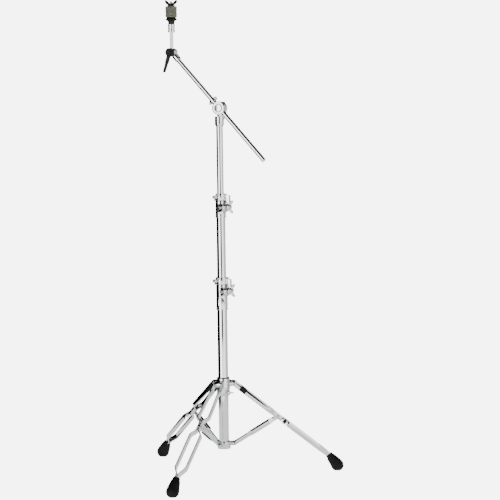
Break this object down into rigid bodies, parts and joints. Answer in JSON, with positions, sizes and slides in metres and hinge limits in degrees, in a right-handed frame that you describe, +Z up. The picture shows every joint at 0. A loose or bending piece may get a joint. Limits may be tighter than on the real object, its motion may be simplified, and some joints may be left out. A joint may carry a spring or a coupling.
{
  "type": "cymbal boom stand",
  "caption": "Folding cymbal stand: double-braced tripod, telescoping chromed tubes, clamped tilting boom rod and a felted cymbal post on a lever-locked tilter.",
  "frame": {"origin": "middle of the whole stand's box in plan, on the floor the feet stand on", "axes": "+Z up along the stand's tubes; +X and +Y level, with one leg 4.4 degrees off +X and the boom rising towards -X and a little towards +Y"},
  "size_m": [0.5462, 0.5998, 1.3534],
  "materials": {
    "polished_chrome": "polished",
    "cast_chrome": "bright plated casting",
    "zinc_plated_steel": "zinc plated",
    "black_rubber": "matte moulded",
    "black_nylon": "satin",
    "black_plastic": "satin moulded",
    "grey_green_felt": "pressed felt"
  },
  "bodies": {
    "base": {"base_tube": "polished_chrome", "brace_hub": "cast_chrome", "lower_clamp_casting": "cast_chrome", "lower_clamp_bushing": "black_nylon", "lower_clamp_bolt": "zinc_plated_steel"},
    "leg_collar": {"leg_collar": "cast_chrome", "collar_bushing": "black_nylon", "leg_a_collar_pin": "zinc_plated_steel", "leg_b_collar_pin": "zinc_plated_steel", "leg_c_collar_pin": "zinc_plated_steel"},
    "collar_wing_screw": {"collar_wing_screw": "polished_chrome"},
    "leg_a": {"leg_a_strip_left": "polished_chrome", "leg_a_strip_right": "polished_chrome", "leg_a_foot": "black_rubber", "leg_a_rivet": "zinc_plated_steel"},
    "brace_a": {"brace_a": "polished_chrome", "brace_a_hub_pin": "zinc_plated_steel"},
    "leg_b": {"leg_b_strip_left": "polished_chrome", "leg_b_strip_right": "polished_chrome", "leg_b_foot": "black_rubber", "leg_b_rivet": "zinc_plated_steel"},
    "brace_b": {"brace_b": "polished_chrome", "brace_b_hub_pin": "zinc_plated_steel"},
    "leg_c": {"leg_c_strip_left": "polished_chrome", "leg_c_strip_right": "polished_chrome", "leg_c_foot": "black_rubber", "leg_c_rivet": "zinc_plated_steel"},
    "brace_c": {"brace_c": "polished_chrome", "brace_c_hub_pin": "zinc_plated_steel"},
    "lower_wing_nut": {"lower_wing_nut": "polished_chrome"},
    "lower_memory_lock": {"lower_lock_ring": "cast_chrome", "lower_lock_hinge_pin": "zinc_plated_steel"},
    "lower_lock_gate": {"lower_lock_gate": "cast_chrome"},
    "lower_lock_screw": {"lower_lock_screw": "polished_chrome"},
    "middle_tube": {"middle_tube": "polished_chrome", "upper_clamp_casting": "cast_chrome", "upper_clamp_bushing": "black_nylon", "upper_clamp_bolt": "zinc_plated_steel"},
    "upper_wing_nut": {"upper_wing_nut": "polished_chrome"},
    "upper_memory_lock": {"upper_lock_ring": "cast_chrome", "upper_lock_hinge_pin": "zinc_plated_steel"},
    "upper_lock_gate": {"upper_lock_gate": "cast_chrome"},
    "upper_lock_screw": {"upper_lock_screw": "polished_chrome"},
    "top_tube": {"top_tube": "polished_chrome", "boom_yoke": "cast_chrome"},
    "boom_clamp": {"boom_clamp": "cast_chrome", "boom_eye_bolt": "polished_chrome"},
    "boom_wing_nut": {"boom_wing_nut": "polished_chrome"},
    "boom_rod": {"boom_rod": "polished_chrome", "boom_end_plug": "polished_chrome", "boom_stop_collar": "cast_chrome", "tilter_socket": "cast_chrome", "tilter_bolt": "zinc_plated_steel"},
    "tilter": {"cymbal_rod": "polished_chrome", "seat_sleeve": "polished_chrome", "cup_washer": "black_plastic", "lower_felt": "grey_green_felt"},
    "tilter_lever": {"tilter_lever": "black_plastic"},
    "upper_felt": {"upper_felt": "grey_green_felt"},
    "cymbal_wing_nut": {"cymbal_wing_nut": "black_plastic"}
  },
  "joints": [
    {"name": "collar_slide", "type": "slide", "parent": "base", "child": "leg_collar", "axis": [0, 0, 1], "range_m": [0, 0.1314]},
    {"name": "collar_wing_screw_turn", "type": "hinge", "parent": "leg_collar", "child": "collar_wing_screw", "pos_m": [-0.07063, 0.01261, 0.23732], "axis": [0.565, -0.8251, 0], "continuous": true},
    {"name": "leg_a_fold", "type": "hinge", "parent": "leg_collar", "child": "leg_a", "pos_m": [-0.08815, 0.03818, 0.26192], "axis": [-0.8251, -0.565, 0], "range_deg": [0, 47.45]},
    {"name": "brace_a_fold", "type": "hinge", "parent": "leg_a", "child": "brace_a", "pos_m": [-0.15879, 0.14136, 0.1621], "axis": [0.8251, 0.565, 0], "range_deg": [0, 102.24]},
    {"name": "leg_b_fold", "type": "hinge", "parent": "leg_collar", "child": "leg_b", "pos_m": [-0.08403, -0.01535, 0.26192], "axis": [0.9018, -0.4321, 0], "range_deg": [0, 47.45]},
    {"name": "brace_b_fold", "type": "hinge", "parent": "leg_b", "child": "brace_b", "pos_m": [-0.13806, -0.12812, 0.1621], "axis": [-0.9018, 0.4321, 0], "range_deg": [0, 102.24]},
    {"name": "leg_c_fold", "type": "hinge", "parent": "leg_collar", "child": "leg_c", "pos_m": [-0.03972, 0.01498, 0.26192], "axis": [-0.0767, 0.9971, 0], "range_deg": [0, 47.45]},
    {"name": "brace_c_fold", "type": "hinge", "parent": "leg_c", "child": "brace_c", "pos_m": [0.08495, 0.02458, 0.1621], "axis": [0.0767, -0.9971, 0], "range_deg": [0, 102.24]},
    {"name": "lower_wing_nut_turn", "type": "hinge", "parent": "base", "child": "lower_wing_nut", "pos_m": [-0.05962, -0.00312, 0.52702], "axis": [0.8192, 0.5736, 0], "continuous": true},
    {"name": "lower_memory_lock_turn", "type": "hinge", "parent": "base", "child": "lower_memory_lock", "pos_m": [-0.07063, 0.01261, 0.54632], "axis": [0, 0, 1], "range_deg": [-90, 0]},
    {"name": "lower_lock_gate_open", "type": "hinge", "parent": "lower_memory_lock", "child": "lower_lock_gate", "pos_m": [-0.05315, 0.01897, 0.54632], "axis": [0, 0, -1], "range_deg": [0, 100]},
    {"name": "lower_lock_screw_turn", "type": "hinge", "parent": "lower_memory_lock", "child": "lower_lock_screw", "pos_m": [-0.09116, 0.00513, 0.55582], "axis": [0.342, -0.9397, 0], "continuous": true},
    {"name": "middle_tube_slide", "type": "slide", "parent": "lower_memory_lock", "child": "middle_tube", "axis": [0, 0, 1], "range_m": [-0.165, 0.12]},
    {"name": "upper_wing_nut_turn", "type": "hinge", "parent": "middle_tube", "child": "upper_wing_nut", "pos_m": [-0.06143, -0.00054, 0.76502], "axis": [0.8192, 0.5736, 0], "continuous": true},
    {"name": "upper_memory_lock_turn", "type": "hinge", "parent": "middle_tube", "child": "upper_memory_lock", "pos_m": [-0.07063, 0.01261, 0.78432], "axis": [0, 0, 1], "range_deg": [-90, 0]},
    {"name": "upper_lock_gate_open", "type": "hinge", "parent": "upper_memory_lock", "child": "upper_lock_gate", "pos_m": [-0.05611, 0.01789, 0.78432], "axis": [0, 0, -1], "range_deg": [0, 100]},
    {"name": "upper_lock_screw_turn", "type": "hinge", "parent": "upper_memory_lock", "child": "upper_lock_screw", "pos_m": [-0.0882, 0.00621, 0.79382], "axis": [0.342, -0.9397, 0], "continuous": true},
    {"name": "top_tube_slide", "type": "slide", "parent": "upper_memory_lock", "child": "top_tube", "axis": [0, 0, 1], "range_m": [-0.185, 0.1]},
    {"name": "boom_tilt", "type": "hinge", "parent": "top_tube", "child": "boom_clamp", "pos_m": [-0.07063, 0.01261, 1.04482], "axis": [-0.454, -0.891, 0], "range_deg": [0, 75]},
    {"name": "boom_wing_nut_turn", "type": "hinge", "parent": "boom_clamp", "child": "boom_wing_nut", "pos_m": [-0.07063, 0.01261, 1.04482], "axis": [0.454, 0.891, 0], "continuous": true},
    {"name": "boom_rod_slide", "type": "slide", "parent": "boom_clamp", "child": "boom_rod", "axis": [-0.6077, 0.3096, 0.7314], "range_m": [-0.003, 0.165]},
    {"name": "cymbal_tilt", "type": "hinge", "parent": "boom_rod", "child": "tilter", "pos_m": [-0.2031, 0.0801, 1.20426], "axis": [-0.454, -0.891, 0], "range_deg": [-45, 90]},
    {"name": "tilter_lever_turn", "type": "hinge", "parent": "boom_rod", "child": "tilter_lever", "pos_m": [-0.2031, 0.0801, 1.20426], "axis": [-0.454, -0.891, 0], "range_deg": [-60, 100]},
    {"name": "upper_felt_lift", "type": "slide", "parent": "tilter", "child": "upper_felt", "axis": [0, 0, 1], "range_m": [0, 0.012]},
    {"name": "cymbal_wing_nut_turn", "type": "hinge", "parent": "upper_felt", "child": "cymbal_wing_nut", "pos_m": [-0.2031, 0.0801, 1.20426], "axis": [0, 0, 1], "continuous": true}
  ],
  "couplings": [
    {"joint": "leg_a_fold", "follows": "collar_slide", "rad_per_m": 6.2959},
    {"joint": "brace_a_fold", "follows": "collar_slide", "rad_per_m": 13.573},
    {"joint": "leg_b_fold", "follows": "collar_slide", "rad_per_m": 6.2959},
    {"joint": "brace_b_fold", "follows": "collar_slide", "rad_per_m": 13.573},
    {"joint": "leg_c_fold", "follows": "collar_slide", "rad_per_m": 6.2959},
    {"joint": "brace_c_fold", "follows": "collar_slide", "rad_per_m": 13.573}
  ]
}
